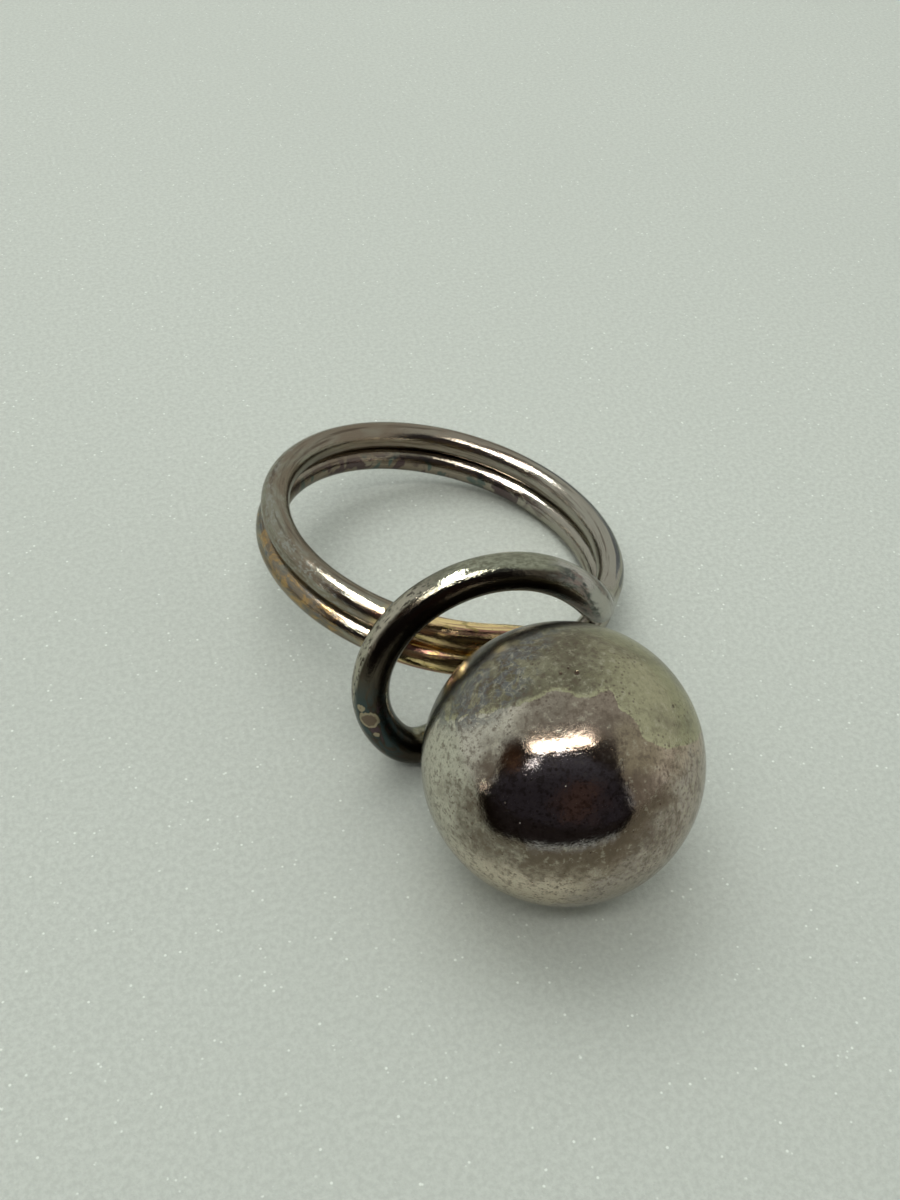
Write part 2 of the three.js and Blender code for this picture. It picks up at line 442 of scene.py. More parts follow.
class Nodes:
    """Short names for the shader nodes used here."""

    def __init__(self, tree):
        self.tree = tree
        tree.nodes.clear()

    def node(self, kind, **settings):
        made = self.tree.nodes.new(kind)
        for key, value in settings.items():
            setattr(made, key, value)
        return made

    def feed(self, socket, value):
        """Links a value into a socket, or sets it there. A colour gets its fourth number."""
        if isinstance(value, bpy.types.NodeSocket):
            self.tree.links.new(value, socket)
        elif isinstance(value, (tuple, list)) and len(value) == 3 and len(socket.default_value) == 4:
            socket.default_value = (*value, 1.0)
        else:
            socket.default_value = value

    def math(self, operation, a, b=0.0):
        made = self.node("ShaderNodeMath", operation=operation)
        self.feed(made.inputs[0], a)
        self.feed(made.inputs[1], b)
        return made.outputs[0]

    def vector(self, operation, a, b=(0.0, 0.0, 0.0)):
        made = self.node("ShaderNodeVectorMath", operation=operation)
        self.feed(made.inputs[0], a)
        self.feed(made.inputs[1], b)
        return made.outputs["Value" if operation in ("DOT_PRODUCT", "LENGTH") else "Vector"]

    def scaled(self, vector, factors):
        return self.vector("MULTIPLY", vector, factors)

    def attribute(self, name):
        """A vector kept with the points."""
        return self.node("ShaderNodeAttribute", attribute_name=name).outputs["Vector"]

    def number(self, name):
        """A number kept with the points."""
        return self.node("ShaderNodeAttribute", attribute_name=name).outputs["Fac"]

    def towards(self, vector, direction):
        """How far a vector reaches in a direction."""
        return self.vector("DOT_PRODUCT", vector, tuple(float(v) for v in direction))

    def away(self, vector, origin):
        """From an origin to a point."""
        return self.vector("SUBTRACT", vector, tuple(float(v) for v in origin))

    def distance(self, vector, origin):
        return self.vector("LENGTH", self.away(vector, origin))

    def add(self, *terms):
        total = terms[0]
        for term in terms[1:]:
            total = self.math("ADD", total, term)
        return total

    def times(self, *terms):
        total = terms[0]
        for term in terms[1:]:
            total = self.math("MULTIPLY", total, term)
        return total

    def size_of(self, value):
        return self.math("ABSOLUTE", value)

    def spread(self, noise, size):
        """A noise turned into a push of up to about half the size, to both sides."""
        return self.times(self.add(noise, -0.5), size)

    def curve(self, value, points):
        """A smooth line through points, of numbers from 0 to 1."""
        made = self.node("ShaderNodeFloatCurve")
        line = made.mapping.curves[0]
        for _ in points[2:]:
            line.points.new(0.5, 0.5)
        for place, (x, y) in zip(line.points, points):
            place.location = (x, y)
        made.mapping.update()
        self.feed(made.inputs["Value"], value)
        return made.outputs["Value"]

    def noise(self, vector, scale, detail=3.0, roughness=0.5, distortion=0.0):
        made = self.node("ShaderNodeTexNoise")
        self.feed(made.inputs["Vector"], vector)
        self.feed(made.inputs["Scale"], scale)
        self.feed(made.inputs["Detail"], detail)
        self.feed(made.inputs["Roughness"], roughness)
        self.feed(made.inputs["Distortion"], distortion)
        return made.outputs["Fac"]

    def voronoi(self, vector, scale, feature="F1"):
        made = self.node("ShaderNodeTexVoronoi", feature=feature)
        self.feed(made.inputs["Vector"], vector)
        self.feed(made.inputs["Scale"], scale)
        return made.outputs["Distance"]

    def step(self, value, low, high, to_low=0.0, to_high=1.0):
        """Smoothly from to_low, below low, to to_high, above high. low may be the larger."""
        made = self.node("ShaderNodeMapRange", interpolation_type="SMOOTHSTEP")
        if low > high:
            low, high, to_low, to_high = high, low, to_high, to_low
        self.feed(made.inputs["Value"], value)
        self.feed(made.inputs["From Min"], low)
        self.feed(made.inputs["From Max"], high)
        self.feed(made.inputs["To Min"], to_low)
        self.feed(made.inputs["To Max"], to_high)
        return made.outputs["Result"]

    def mix(self, factor, a, b):
        made = self.node("ShaderNodeMix", data_type="RGBA")
        self.feed(made.inputs[0], factor)
        self.feed(made.inputs[6], a)
        self.feed(made.inputs[7], b)
        return made.outputs[2]

    def paint(self, under, over, *cover):
        """One colour over another, as far as the covers, multiplied, let it."""
        return self.mix(self.times(*cover), under, over)

    def bump(self, height, distance, normal=None):
        made = self.node("ShaderNodeBump")
        made.inputs["Strength"].default_value = 1.0
        made.inputs["Distance"].default_value = distance
        self.feed(made.inputs["Height"], height)
        if normal is not None:
            self.feed(made.inputs["Normal"], normal)
        return made.outputs["Normal"]

    def silver(self, colour, roughness, normal):
        """Finishes a material as metal, with a tint that dulls the white rim of clean metal."""
        shader = self.node("ShaderNodeBsdfPrincipled")
        shader.inputs["Metallic"].default_value = 1.0
        shader.inputs["Specular Tint"].default_value = (*EDGE_TINT, 1.0)
        self.feed(shader.inputs["Base Color"], colour)
        self.feed(shader.inputs["Roughness"], roughness)
        self.feed(shader.inputs["Normal"], normal)
        output = self.node("ShaderNodeOutputMaterial")
        self.tree.links.new(shader.outputs[0], output.inputs["Surface"])


def new_material(name):
    material = bpy.data.materials.new(name)
    material.use_nodes = True
    return material, Nodes(material.node_tree)


# ---- the wire's material, with lengths in millimetres ----

DRAWN_MARKS = 0.022 * MM
WIRE_PITTING = 0.022 * MM
WIRE_GRAIN = 0.007 * MM
WIRE_SATIN = 0.20
WIRE_POLISHED = 0.085

# Beige blisters on the lower left of the arch: angle on the arch, turn from its outer side towards
# the ball, radius and size of the ring-shaped rim.
BLISTERS = ((109, 66, 0.85, 0.22), (102, 44, 0.38, 0.3), (119, 72, 0.3, 0.3))


def wire_readings(n):
    """What the wire's colours follow: places on it, and noises laid along it."""
    lay = n.attribute("lay")
    place = n.attribute("place")
    from_ring = n.away(place, ring_centre)
    from_arch = n.away(place, arch_centre)
    return SimpleNamespace(
        lay=lay,
        place=place,
        facing=n.attribute("facing"),
        outer=n.number("outer"),
        arch=n.number("arch"),
        near=n.towards(from_ring, ring_near),
        right=n.towards(from_ring, ring_right),
        height=n.towards(from_ring, ring_axis),
        arch_side=n.towards(from_arch, arch_left),
        arch_height=n.towards(from_arch, arch_up),
        patches=n.noise(n.scaled(lay, (0.5, 0.5, 0.15)), 1.0, detail=4.0, roughness=0.6, distortion=0.8),
        streaks=n.noise(n.scaled(lay, (2.4, 2.4, 0.11)), 1.0, detail=4.0, roughness=0.62),
        mottles=n.noise(n.scaled(lay, (1.3, 1.3, 0.55)), 1.0, roughness=0.6, distortion=1.4),
        specks=n.noise(n.scaled(lay, (3.4, 3.4, 1.9)), 1.0, roughness=0.7),
        grain=n.noise(lay, 9.0, detail=2.0, roughness=0.6),
    )


def ring_ground(n, w):
    """Brown and grey bloom, paler to the right and redder at the back, with dark streaks along it."""
    colour = n.mix(n.step(w.patches, 0.40, 0.60), RING_BROWN, RING_GREY)
    pale = n.step(n.add(w.right, n.spread(w.patches, 12.0)), -3.0, 7.0)
    colour = n.paint(colour, RING_PALE, pale, 0.75)
    back = n.step(n.add(w.near, n.spread(w.mottles, 8.0)), -6.5, -12.0)
    colour = n.paint(colour, RING_BACK, back, 0.55)
    return n.paint(colour, RING_STREAK, n.step(w.streaks, 0.50, 0.64), 0.80)


def ring_inside(n, w, colour):
    """Teal and plum bars inside the lower turn, at the back."""
    inside = n.times(n.step(w.outer, -0.35, -0.75), n.step(w.height, -0.1, -0.9))
    inside = n.times(inside, n.step(w.near, -3.0, -10.0))
    bars = n.noise(n.scaled(w.lay, (0.35, 0.35, 0.42)), 1.0, detail=2.0, roughness=0.6, distortion=0.6)
    colour = n.paint(colour, INSIDE_TEAL, inside, n.step(bars, 0.53, 0.57), 0.75)
    return n.paint(colour, INSIDE_PLUM, inside, n.step(bars, 0.46, 0.42), 0.8)


def ring_sides(n, w, colour):
    """Amber and slate low on the left, worn silver high on it, and a blue band on the right."""
    left = n.times(n.step(w.right, -9.5, -12.5), n.step(w.outer, 0.0, 0.5))
    low = n.times(left, n.step(w.height, 0.3, -0.4))
    colour = n.paint(colour, LEFT_AMBER, low, n.step(w.mottles, 0.50, 0.64), 0.75)
    colour = n.paint(colour, LEFT_SLATE, low, n.step(w.mottles, 0.47, 0.36), 0.75)
    high = n.times(left, n.step(w.height, -0.3, 0.4))
    colour = n.paint(colour, LEFT_SILVER, high, n.step(w.specks, 0.50, 0.58), 0.8)
    blue = n.times(n.step(w.right, 9.0, 12.5), n.step(w.height, -0.2, 0.8), n.step(w.streaks, 0.44, 0.50))
    return n.paint(colour, RIGHT_BLUE, blue, n.step(w.outer, -0.2, 0.3), 0.8)


def heat_tint(n, w, colour):
    """Gold, copper and olive beside the ball, where the solder was melted."""
    near = n.step(n.add(w.near, n.spread(w.streaks, 2.0)), 11.8, 13.0)
    near = n.times(near, n.step(w.right, 6.0, 3.0))
    tint = n.mix(n.step(w.streaks, 0.42, 0.62), HEAT_GOLD, HEAT_COPPER)
    tint = n.paint(tint, HEAT_OLIVE, n.step(w.mottles, 0.5, 0.66), 0.7)
    return n.paint(colour, tint, near)


def arch_ground(n, w):
    """Nearly black: dark tarnish, made darker as painted shade and reflection; olive tarnish on top, made
    paler as a painted reflection of the tent top; worn to silver on the left and teal and plum at the lower
    left.
    """
    # Painted shade: the dark tarnish deepened to the shade and dark reflection on the arch's front and
    # underside.
    colour = n.mix(n.step(w.patches, 0.38, 0.62), ARCH_BLACK_AND_SHADE, ARCH_BROWN)
    # Painted reflection: the upward face made paler olive, standing in for the mirrored pale tent top.
    upward = n.towards(w.facing, (0.0, 0.0, 1.0))
    top = n.step(n.add(upward, n.spread(w.specks, 0.25)), 0.66, 0.80)
    olive = n.mix(n.step(w.specks, 0.38, 0.64), ARCH_TOP_PALE_SHEEN, ARCH_TOP_DARK)
    colour = n.paint(colour, olive, top, n.step(w.arch_side, 8.5, 4.0))
    strip = n.times(n.step(w.arch_side, 5.0, 8.0), n.step(w.outer, 0.84, 0.94))
    colour = n.paint(colour, ARCH_WORN, strip, n.step(w.specks, 0.35, 0.5))
    low = n.times(n.step(w.arch_side, 4.0, 7.0), n.step(w.arch_height, 1.5, -2.5))
    colour = n.paint(colour, ARCH_TEAL, low, n.step(w.mottles, 0.44, 0.56), 0.85)
    return n.paint(colour, ARCH_PLUM, low, n.step(w.mottles, 0.43, 0.36))


def arch_blisters(n, w, colour):
    for angle, turn, radius, rim in BLISTERS:
        centre_line = arch_points(angle, angle + 1)[0]
        outward = unit(centre_line - arch_centre)
        lean = outward * math.cos(math.radians(turn)) + to_ball * math.sin(math.radians(turn))
        reach = n.distance(w.place, centre_line + lean * ARCH_WIRE_RADIUS)
        reach = n.add(reach, n.spread(w.specks, 0.5))
        colour = n.paint(colour, BLISTER_RIM, n.step(reach, radius, radius - 0.08))
        colour = n.paint(colour, BLISTER_HOLLOW, n.step(reach, radius - rim, radius - rim - 0.1), 0.85)
    return colour


def hairpin(n, w, colour):
    """Mottled pink and grey where the arch turns back to the ring, with a pale worn ridge."""
    right_end = n.step(n.add(w.arch_side, n.spread(w.mottles, 4.0)), -2.0, -4.5)
    bend = n.mix(n.step(w.mottles, 0.44, 0.56), HAIRPIN_DARK, HAIRPIN_PINK)
    bend = n.paint(bend, HAIRPIN_GREY, n.step(w.specks, 0.48, 0.60), 0.6)
    ridge = n.step(n.add(w.outer, n.spread(w.specks, 0.25)), 0.86, 0.97)
    bend = n.paint(bend, HAIRPIN_RIDGE, ridge, 0.85)
    return n.paint(colour, bend, right_end, 0.9)


def wire_material():
    """Old silver wire: tarnished in brown, grey and gold on the ring and nearly black on the arch, where
    the black is partly painted shade and the top partly painted reflection.
    """
    material, n = new_material("tarnished_wire")
    w = wire_readings(n)
    ring = ring_ground(n, w)
    ring = ring_inside(n, w, ring)
    ring = ring_sides(n, w, ring)
    ring = heat_tint(n, w, ring)
    arch = arch_ground(n, w)
    arch = arch_blisters(n, w, arch)
    arch = hairpin(n, w, arch)
    colour = n.mix(n.step(w.arch, 0.15, 0.85), ring, arch)
    colour = n.paint(colour, WIRE_SPECK, n.step(w.specks, 0.66, 0.74), 0.5)

    clean = n.step(n.add(w.patches, n.spread(w.specks, 0.2)), 0.36, 0.62)
    roughness = n.step(clean, 0.0, 1.0, WIRE_SATIN, WIRE_POLISHED)
    drawn = n.noise(n.scaled(w.lay, (4.2, 4.2, 0.5)), 1.0, roughness=0.6)
    normal = n.bump(drawn, DRAWN_MARKS)
    normal = n.bump(w.specks, WIRE_PITTING, normal)
    normal = n.bump(w.grain, WIRE_GRAIN, normal)
    n.silver(colour, roughness, normal)
    return material


# ---- the ball's material: right, up and towards the viewer, in ball radii ----

BALL_DENTS = 0.030 * MM
BALL_FRECKLING = 0.010 * MM
BALL_GRAIN = 0.003 * MM
BALL_ROUGHNESS = 0.18
BLOOM_ROUGHER = 0.05
FRONT_SMOOTHER = 0.09
PIT_DEPTH = 0.040 * MM
SOLDER_LUMPS = 0.040 * MM

# The lower edge of the cream bloom: to the right, up.
BLOOM_EDGE = (
    (-1.0, 0.30),
    (-0.62, 0.38),
    (-0.46, 0.43),
    (-0.26, 0.49),
    (-0.08, 0.555),
    (0.08, 0.505),
    (0.17, 0.535),
    (0.24, 0.55),
    (0.30, 0.44),
    (0.40, 0.35),
    (0.47, 0.245),
    (0.64, 0.175),
    (0.86, 0.20),
    (1.0, 0.30),
)

# The clearest pits: to the right, up, radius.
PITS = ((0.035, 0.67, 0.022), (0.69, 0.44, 0.016), (-0.07, 0.665, 0.013), (-0.02, 0.70, 0.010))

# The patch where the tent's dark front is mirrored, with a painted reflection tint and fringe: how far its
# middle is to the left and down, and how much it is narrower and lower.
FRONT_LEFT = 0.08
FRONT_DOWN = 0.15
FRONT_NARROWER = 2.0
FRONT_LOWER = 2.7


def facing_spot(x, y):
    """The point of a ball of radius 1 that the viewer sees at x to the right and y up."""
    return view_right * x + view_up * y + view_back * math.sqrt(1 - x * x - y * y)


def mirrored_front_reach(n, right, up):
    """How far a point is from the middle of the patch where the dark front is mirrored: 1 at its edge."""
    across = n.times(n.add(right, FRONT_LEFT), FRONT_NARROWER)
    over = n.times(n.add(up, FRONT_DOWN), FRONT_LOWER)
    return n.math("SQRT", n.add(n.times(across, across), n.times(over, over)))


def ball_readings(n):
    """What the ball's colours follow: places on it, noises, and how deep in the bloom a point is."""
    spot = n.scaled(n.away(n.attribute("place"), ball_centre), (1 / BALL_RADIUS,) * 3)
    right = n.towards(spot, view_right)
    up = n.towards(spot, view_up)
    edge = n.curve(n.times(n.add(right, 1.0), 0.5), [(0.5 * (x + 1), y) for x, y in BLOOM_EDGE])
    waver = n.spread(n.noise(spot, 9.0, detail=4.0, roughness=0.6), 0.09)
    return SimpleNamespace(
        spot=spot,
        right=right,
        up=up,
        front=n.towards(spot, view_back),
        clouds=n.noise(spot, 1.7, detail=4.0, roughness=0.55, distortion=0.5),
        blotches=n.noise(spot, 5.5, detail=4.0, roughness=0.6, distortion=0.6),
        freckles=n.noise(spot, 21.0, detail=4.0, roughness=0.68),
        grain=n.noise(spot, 60.0, roughness=0.7),
        net=n.voronoi(spot, 15.0, "DISTANCE_TO_EDGE"),
        in_bloom=n.add(up, n.times(edge, -1.0), waver),
    )


def ball_ground(n, b):
    """Silver, warmer to the right and paler below, with a netted lilac patch at the lower right."""
    side = n.step(n.add(b.right, n.spread(b.clouds, 1.2)), -0.5, 0.3)
    colour = n.mix(side, BALL_LEFT, BALL_RIGHT)
    low = n.step(n.add(b.up, n.spread(b.clouds, 0.5)), -0.45, -0.7)
    colour = n.paint(colour, BALL_BELOW, low, 0.85)
    corner = n.add(n.times(b.right, 0.75), n.times(b.up, -0.65), n.spread(b.blotches, 0.5))
    corner = n.times(n.step(corner, 0.50, 0.66), n.step(b.front, -0.1, 0.2))
    colour = n.paint(colour, LILAC, corner, 0.8)
    return n.paint(colour, LILAC_NET, corner, n.step(b.net, 0.12, 0.0), 0.45)


def ball_front(n, b, colour):
    """Painted reflection: a neutral tint where the dark front is mirrored, in a painted brown fringe round
    that reflection, with a mauve smudge above it.
    """
    reach = mirrored_front_reach(n, n.add(b.right, -0.05), b.up)
    # Painted reflection: a brown fringe round the mirrored dark front.
    mirrored_fringe = n.step(n.add(reach, n.spread(b.blotches, 1.1), n.spread(b.clouds, 0.8)), 1.80, 1.0)
    colour = n.paint(colour, MIRRORED_FRINGE_BROWN, mirrored_fringe, n.step(b.front, 0.0, 0.3), 0.9)
    reach = mirrored_front_reach(n, b.right, b.up)
    # Painted reflection: a neutral, paler tint under the mirrored dark front, to set that reflection's
    # colour.
    worn = n.step(n.add(reach, n.spread(b.blotches, 0.5)), 0.97, 0.72)
    colour = n.paint(colour, MIRRORED_FRONT_TINT, worn, n.step(b.front, 0.1, 0.4))
    above = n.step(n.add(n.times(b.right, 0.2), b.up, n.spread(b.blotches, 0.12)), 0.22, 0.34)
    beside = n.step(n.size_of(n.add(b.right, -0.05)), 0.42, 0.30)
    return n.paint(colour, SMUDGE_MAUVE, above, beside, 0.7)


def ball_right_side(n, b, colour):
    """Brown bars on the right side, and a beige patch below the bloom."""
    bars = n.noise(n.scaled(b.spot, (26.0, 9.0, 7.0)), 1.0, roughness=0.6)
    barred = n.times(n.step(b.right, 0.3, 0.6), n.step(b.up, 0.3, 0.0), n.step(bars, 0.50, 0.62))
    colour = n.paint(colour, BAR_BROWN, barred, 0.6)
    across = n.size_of(n.add(b.right, -0.45, n.spread(b.blotches, 0.3)))
    beige = n.times(n.step(across, 0.28, 0.12), n.step(b.up, -0.02, 0.1), n.step(b.up, 0.45, 0.3))
    return n.paint(colour, PATCH_BEIGE, beige, 0.55)


def ball_bloom(n, b, colour):
    """An olive bloom over the top, cream to the right, with a pale rim."""
    bloom = n.mix(n.step(b.blotches, 0.36, 0.60), BLOOM_OLIVE, BLOOM_DARK)
    bloom = n.paint(bloom, BLOOM_CREAM, n.step(n.add(b.right, n.spread(b.blotches, 0.5)), 0.0, 0.5))
    bloom = n.paint(bloom, BLOOM_SHADE, n.step(b.clouds, 0.47, 0.36), 0.6)
    bloom = n.paint(bloom, BLOOM_RIM, n.step(b.in_bloom, 0.045, 0.015), 0.7)
    return n.paint(colour, bloom, n.step(b.in_bloom, 0.0, 0.012))


def ball_blue_mottles(n, b, colour):
    """Netted blue mottles at the upper left."""
    corner = n.add(n.times(b.right, -0.70), n.times(b.up, 0.70), n.spread(b.clouds, 0.4))
    corner = n.times(n.step(corner, 0.58, 0.74), n.step(b.up, 0.22, 0.36))
    mottles = n.noise(b.spot, 8.0, detail=4.0, roughness=0.65, distortion=1.0)
    colour = n.paint(colour, MOTTLE_BLUE, corner, n.step(mottles, 0.44, 0.52), 0.9)
    return n.paint(colour, MOTTLE_NET, corner, n.step(b.net, 0.10, 0.0), 0.3)


def ball_freckles(n, b, colour):
    """Freckles, dots and dust, fainter on the right of the bloom."""
    plain = n.times(n.step(b.in_bloom, 0.02, 0.06), n.step(b.right, 0.1, 0.4))
    faint = n.step(plain, 0.0, 1.0, 0.62, 0.30)
    colour = n.paint(colour, FRECKLE_DARK, n.step(b.freckles, 0.50, 0.64), faint)
    colour = n.paint(colour, FRECKLE_PALE, n.step(b.freckles, 0.46, 0.34), 0.35)
    dots = n.times(n.step(n.voronoi(b.spot, 27.0), 0.30, 0.16), n.step(b.blotches, 0.42, 0.56))
    colour = n.paint(colour, DOT_BROWN, dots, 0.65)
    faint = n.step(plain, 0.0, 1.0, 0.42, 0.15)
    return n.paint(colour, DUST_BROWN, n.step(b.grain, 0.52, 0.68), faint)


def ball_pits(n, b):
    """Small scattered pits, and the clearest ones in their own places."""
    pitted = n.step(n.voronoi(b.spot, 10.0), 0.075, 0.045)
    for x, y, radius in PITS:
        reach = n.distance(b.spot, facing_spot(x, y))
        pitted = n.math("MAXIMUM", pitted, n.step(reach, radius, 0.6 * radius))
    return pitted


def ball_joint_and_arch_reflection(n, b, colour):
    """Nearly black beside the ring, round the solder: black tarnish there, and a painted reflection of the
    dark arch on the ball's rim.
    """
    joint_and_reflection = n.add(n.towards(b.spot, -to_ball), n.times(b.right, -0.21), n.spread(b.blotches, 0.16))
    # Painted reflection of the dark arch, over the black tarnish round the joint.
    return n.paint(colour, JOINT_BLACK_AND_ARCH_REFLECTION, n.step(joint_and_reflection, 0.575, 0.65), 0.9)


def ball_material():
    """Old silver ball: a cream bloom over the top, blue and brown tarnish, freckles and pits."""
    material, n = new_material("tarnished_ball")
    b = ball_readings(n)
    colour = ball_ground(n, b)
    colour = ball_front(n, b, colour)
    colour = ball_right_side(n, b, colour)
    colour = ball_bloom(n, b, colour)
    colour = ball_blue_mottles(n, b, colour)
    colour = ball_freckles(n, b, colour)
    pitted = ball_pits(n, b)
    colour = n.paint(colour, PIT_RED, pitted, 0.75)
    colour = ball_joint_and_arch_reflection(n, b, colour)

    smooth = n.times(n.step(mirrored_front_reach(n, b.right, b.up), 1.35, 0.95), n.step(b.front, 0.1, 0.4))
    bloomed = n.step(b.in_bloom, 0.0, 0.02)
    roughness = n.add(BALL_ROUGHNESS, n.times(bloomed, BLOOM_ROUGHER), n.times(smooth, -FRONT_SMOOTHER))
    roughness = n.add(roughness, n.spread(b.freckles, 0.08))
    normal = n.bump(b.blotches, BALL_DENTS)
    normal = n.bump(b.freckles, BALL_FRECKLING, normal)
    normal = n.bump(b.grain, BALL_GRAIN, normal)
    normal = n.bump(n.times(pitted, -1.0), PIT_DEPTH, normal)
    n.silver(colour, roughness, normal)
    return material


def solder_material():
    """Grey solder with darker blobs."""
    material, n = new_material("silver_solder")
    place = n.attribute("place")
    blobs = n.noise(place, 1.2, roughness=0.6)
    colour = n.mix(n.step(blobs, 0.4, 0.65), SOLDER_PALE, SOLDER_DARK)
    normal = n.bump(n.noise(place, 3.0, detail=2.0), SOLDER_LUMPS)
    n.silver(colour, n.step(blobs, 0.3, 0.7, 0.28, 0.42), normal)
    return material


# ---- the wire ----

EASING_REACH = 7

ring_and_arch = joined(
    lower_path, crossover_path, upper_path, riser_path, arch_path, curl_path, peg_path
)
ring_and_arch = eased(even(ring_and_arch, STEP), EASING_REACH)


def length_near(path, place):
    """How far along a path the point nearest to a place is."""
    steps = np.linalg.norm(np.diff(path, axis=0), axis=1)
    length = np.concatenate([[0], np.cumsum(steps)])
    return length[np.linalg.norm(path - place, axis=1).argmin()]


thickens_from = length_near(ring_and_arch, upper_path[-1])
thickens_to = length_near(ring_and_arch, arch_path[0])


def whole_wire_radius(length):
    t = np.clip((length - thickens_from) / (thickens_to - thickens_from), 0, 1)
    return RING_WIRE_RADIUS + (ARCH_WIRE_RADIUS - RING_WIRE_RADIUS) * t * t * (3 - 2 * t)


def ring_wire_radius(length):
    return np.full_like(length, RING_WIRE_RADIUS)


wire_silver = wire_material()
wire = wire_piece("ring_and_arch_wire", ring_and_arch, whole_wire_radius, wire_silver, "root")
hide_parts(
    "lower_turn_right",
    "crossover",
    "upper_turn_left",
    "upper_turn_right",
    "arch_riser",
    "arch_top",
    "arch_side",
    "arch_curl",
    "ball_peg",
)

free_length = RING_RADIUS * math.radians(FREE_END + BACK)
free_turn = wire_piece(
    "free_half_turn_wire",
    free_path,
    ring_wire_radius,
    wire_silver,
    body=None,
    rounding=EDGE_ROUNDING,
    before=-free_length,
)
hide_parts("free_half_turn")
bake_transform(free_turn)

# ---- the ball ----

BALL_COLUMNS = 192
BALL_ROWS = 96
BALL_INNER_ROWS = 24
COLLAR_COLUMNS = 72
COLLAR_ROWS = 14

# The ball's dents: how many, their width in ball radii, and their depth for a width of 1.
DENTS = 26
DENT_WIDTH = (0.25, 0.7)
DENT_DEPTH = (0.004, 0.03)

# The front shell's pole is a hole too small to see, and the collar sits just clear of the ball.
AXIS_RADIUS = 0.004
COLLAR_LIFT = 0.02
COLLAR_HOLLOW = 2.2

inner_radius = BALL_RADIUS - BALL_WALL
half_seam = 0.5 * SEAM_WIDTH
hole_radius = ARCH_WIRE_RADIUS + PEG_CLEARANCE


def ball_lumps(direction):
    """The ball isn't a perfect sphere: low, wide dents, in millimetres, never outside the radius."""
    random = np.random.default_rng(11)
    dent = np.zeros(direction.shape[:-1])
    for _ in range(DENTS):
        centre = unit(random.normal(size=3))
        spread = random.uniform(*DENT_WIDTH)
        depth = random.uniform(*DENT_DEPTH) * spread
        dent += depth * np.exp(-((direction - centre) ** 2).sum(axis=-1) / (2 * (0.5 * spread) ** 2))
    return dent


def turned_on_peg(name, profile, columns, material):
    """Turns a closed profile of (radius, height from the ball's centre) round the peg's line."""
    side = unit(np.cross(peg_out, [1.0, 0.0, 0.0]))
    over = np.cross(peg_out, side)
    a = np.linspace(0, 2 * math.pi, columns, endpoint=False)
    ring = side * np.cos(a)[:, None] + over * np.sin(a)[:, None]
    profile = np.array(profile)
    points = profile[:, 0][:, None, None] * ring[None] + profile[:, 1][:, None, None] * peg_out
    outside = np.linalg.norm(points, axis=2) > BALL_RADIUS - 0.25 * BALL_WALL
    direction = points / np.linalg.norm(points, axis=2)[..., None]
    points = points - direction * (ball_lumps(direction) * outside)[..., None]
    points = (points + ball_centre).reshape(-1, 3)
    faces = grid_faces(len(profile), columns)
    last = (len(profile) - 1) * columns
    for j in range(columns):
        k = (j + 1) % columns
        faces.append((last + j, last + k, k, j))
    piece = new_piece(name, points, faces, material)
    store(piece, "place", points)
    return piece


def arc(radius, start, end, count):
    a = np.linspace(start, end, count)
    return np.stack([radius * np.cos(a), radius * np.sin(a)], axis=1)


def shell_profile(pole_radius, side):
    """Outside from the pole to the seam, then inside back to the pole. side is 1 for the rear."""
    outer_pole = math.acos(pole_radius / BALL_RADIUS)
    outer_seam = math.asin(half_seam / BALL_RADIUS)
    inner_pole = math.acos(pole_radius / inner_radius)
    inner_seam = math.asin(half_seam / inner_radius)
    outer = arc(BALL_RADIUS, outer_pole, outer_seam, BALL_ROWS)
    inner = arc(inner_radius, inner_seam, inner_pole, BALL_INNER_ROWS)
    profile = np.concatenate([outer, inner])
    profile[:, 1] *= side
    return profile if side < 0 else profile[::-1]


ball_silver = ball_material()
solder_silver = solder_material()

front_profile = shell_profile(AXIS_RADIUS, -1)
front = turned_on_peg("ball_front_shell_silver", front_profile, BALL_COLUMNS, ball_silver)
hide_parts("ball_front_shell")
rear_profile = shell_profile(hole_radius, 1)
rear = turned_on_peg("ball_rear_shell_silver", rear_profile, BALL_COLUMNS, ball_silver)
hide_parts("ball_rear_shell")

seam_profile = [
    (inner_radius, -half_seam),
    (BALL_RADIUS, -half_seam),
    (BALL_RADIUS, half_seam),
    (inner_radius, half_seam),
]
seam = turned_on_peg("ball_seam_solder_line", seam_profile, BALL_COLUMNS, ball_silver)
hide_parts("ball_seam_solder")

collar_seat = math.sqrt(BALL_RADIUS**2 - COLLAR_RADIUS**2)
bore_seat = math.sqrt(BALL_RADIUS**2 - hole_radius**2)


def collar_profile():
    """A hollow fillet between the ball and the wire, thin at both edges."""
    t = np.linspace(0, 1, COLLAR_ROWS)
    reach = hole_radius + (COLLAR_RADIUS - hole_radius) * (1 - t) ** COLLAR_HOLLOW
    height = collar_seat + COLLAR_LIFT + (bore_seat + COLLAR_HEIGHT - collar_seat) * t
    foot = [(hole_radius, bore_seat + COLLAR_LIFT)]
    return np.concatenate([np.stack([reach, height], axis=1), foot])


collar = turned_on_peg("peg_solder_fillet", collar_profile(), COLLAR_COLUMNS, solder_silver)
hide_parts("peg_solder_collar")

# ---- floor, light and camera, in metres ----

CLIP_NEAR = 0.005
CLIP_FAR = 5.0

# The pale sheet: half its side, its colours, its grains and sparkles for each metre, and its bump.
FLOOR_HALF = 2.5
FLOOR_DARK = (0.50, 0.537, 0.49)
FLOOR_LIGHT = (0.60, 0.643, 0.588)
FLOOR_SPARKLE = (0.80, 0.85, 0.79)
FLOOR_ROUGHNESS = 0.6
FLOOR_GRAINS = 2200.0
FLOOR_CLOUDS = 14.0
FLOOR_SPARKLES = 1400.0
FLOOR_SPARKLE_GROUPS = 600.0
FLOOR_BUMP = 0.06 * MM

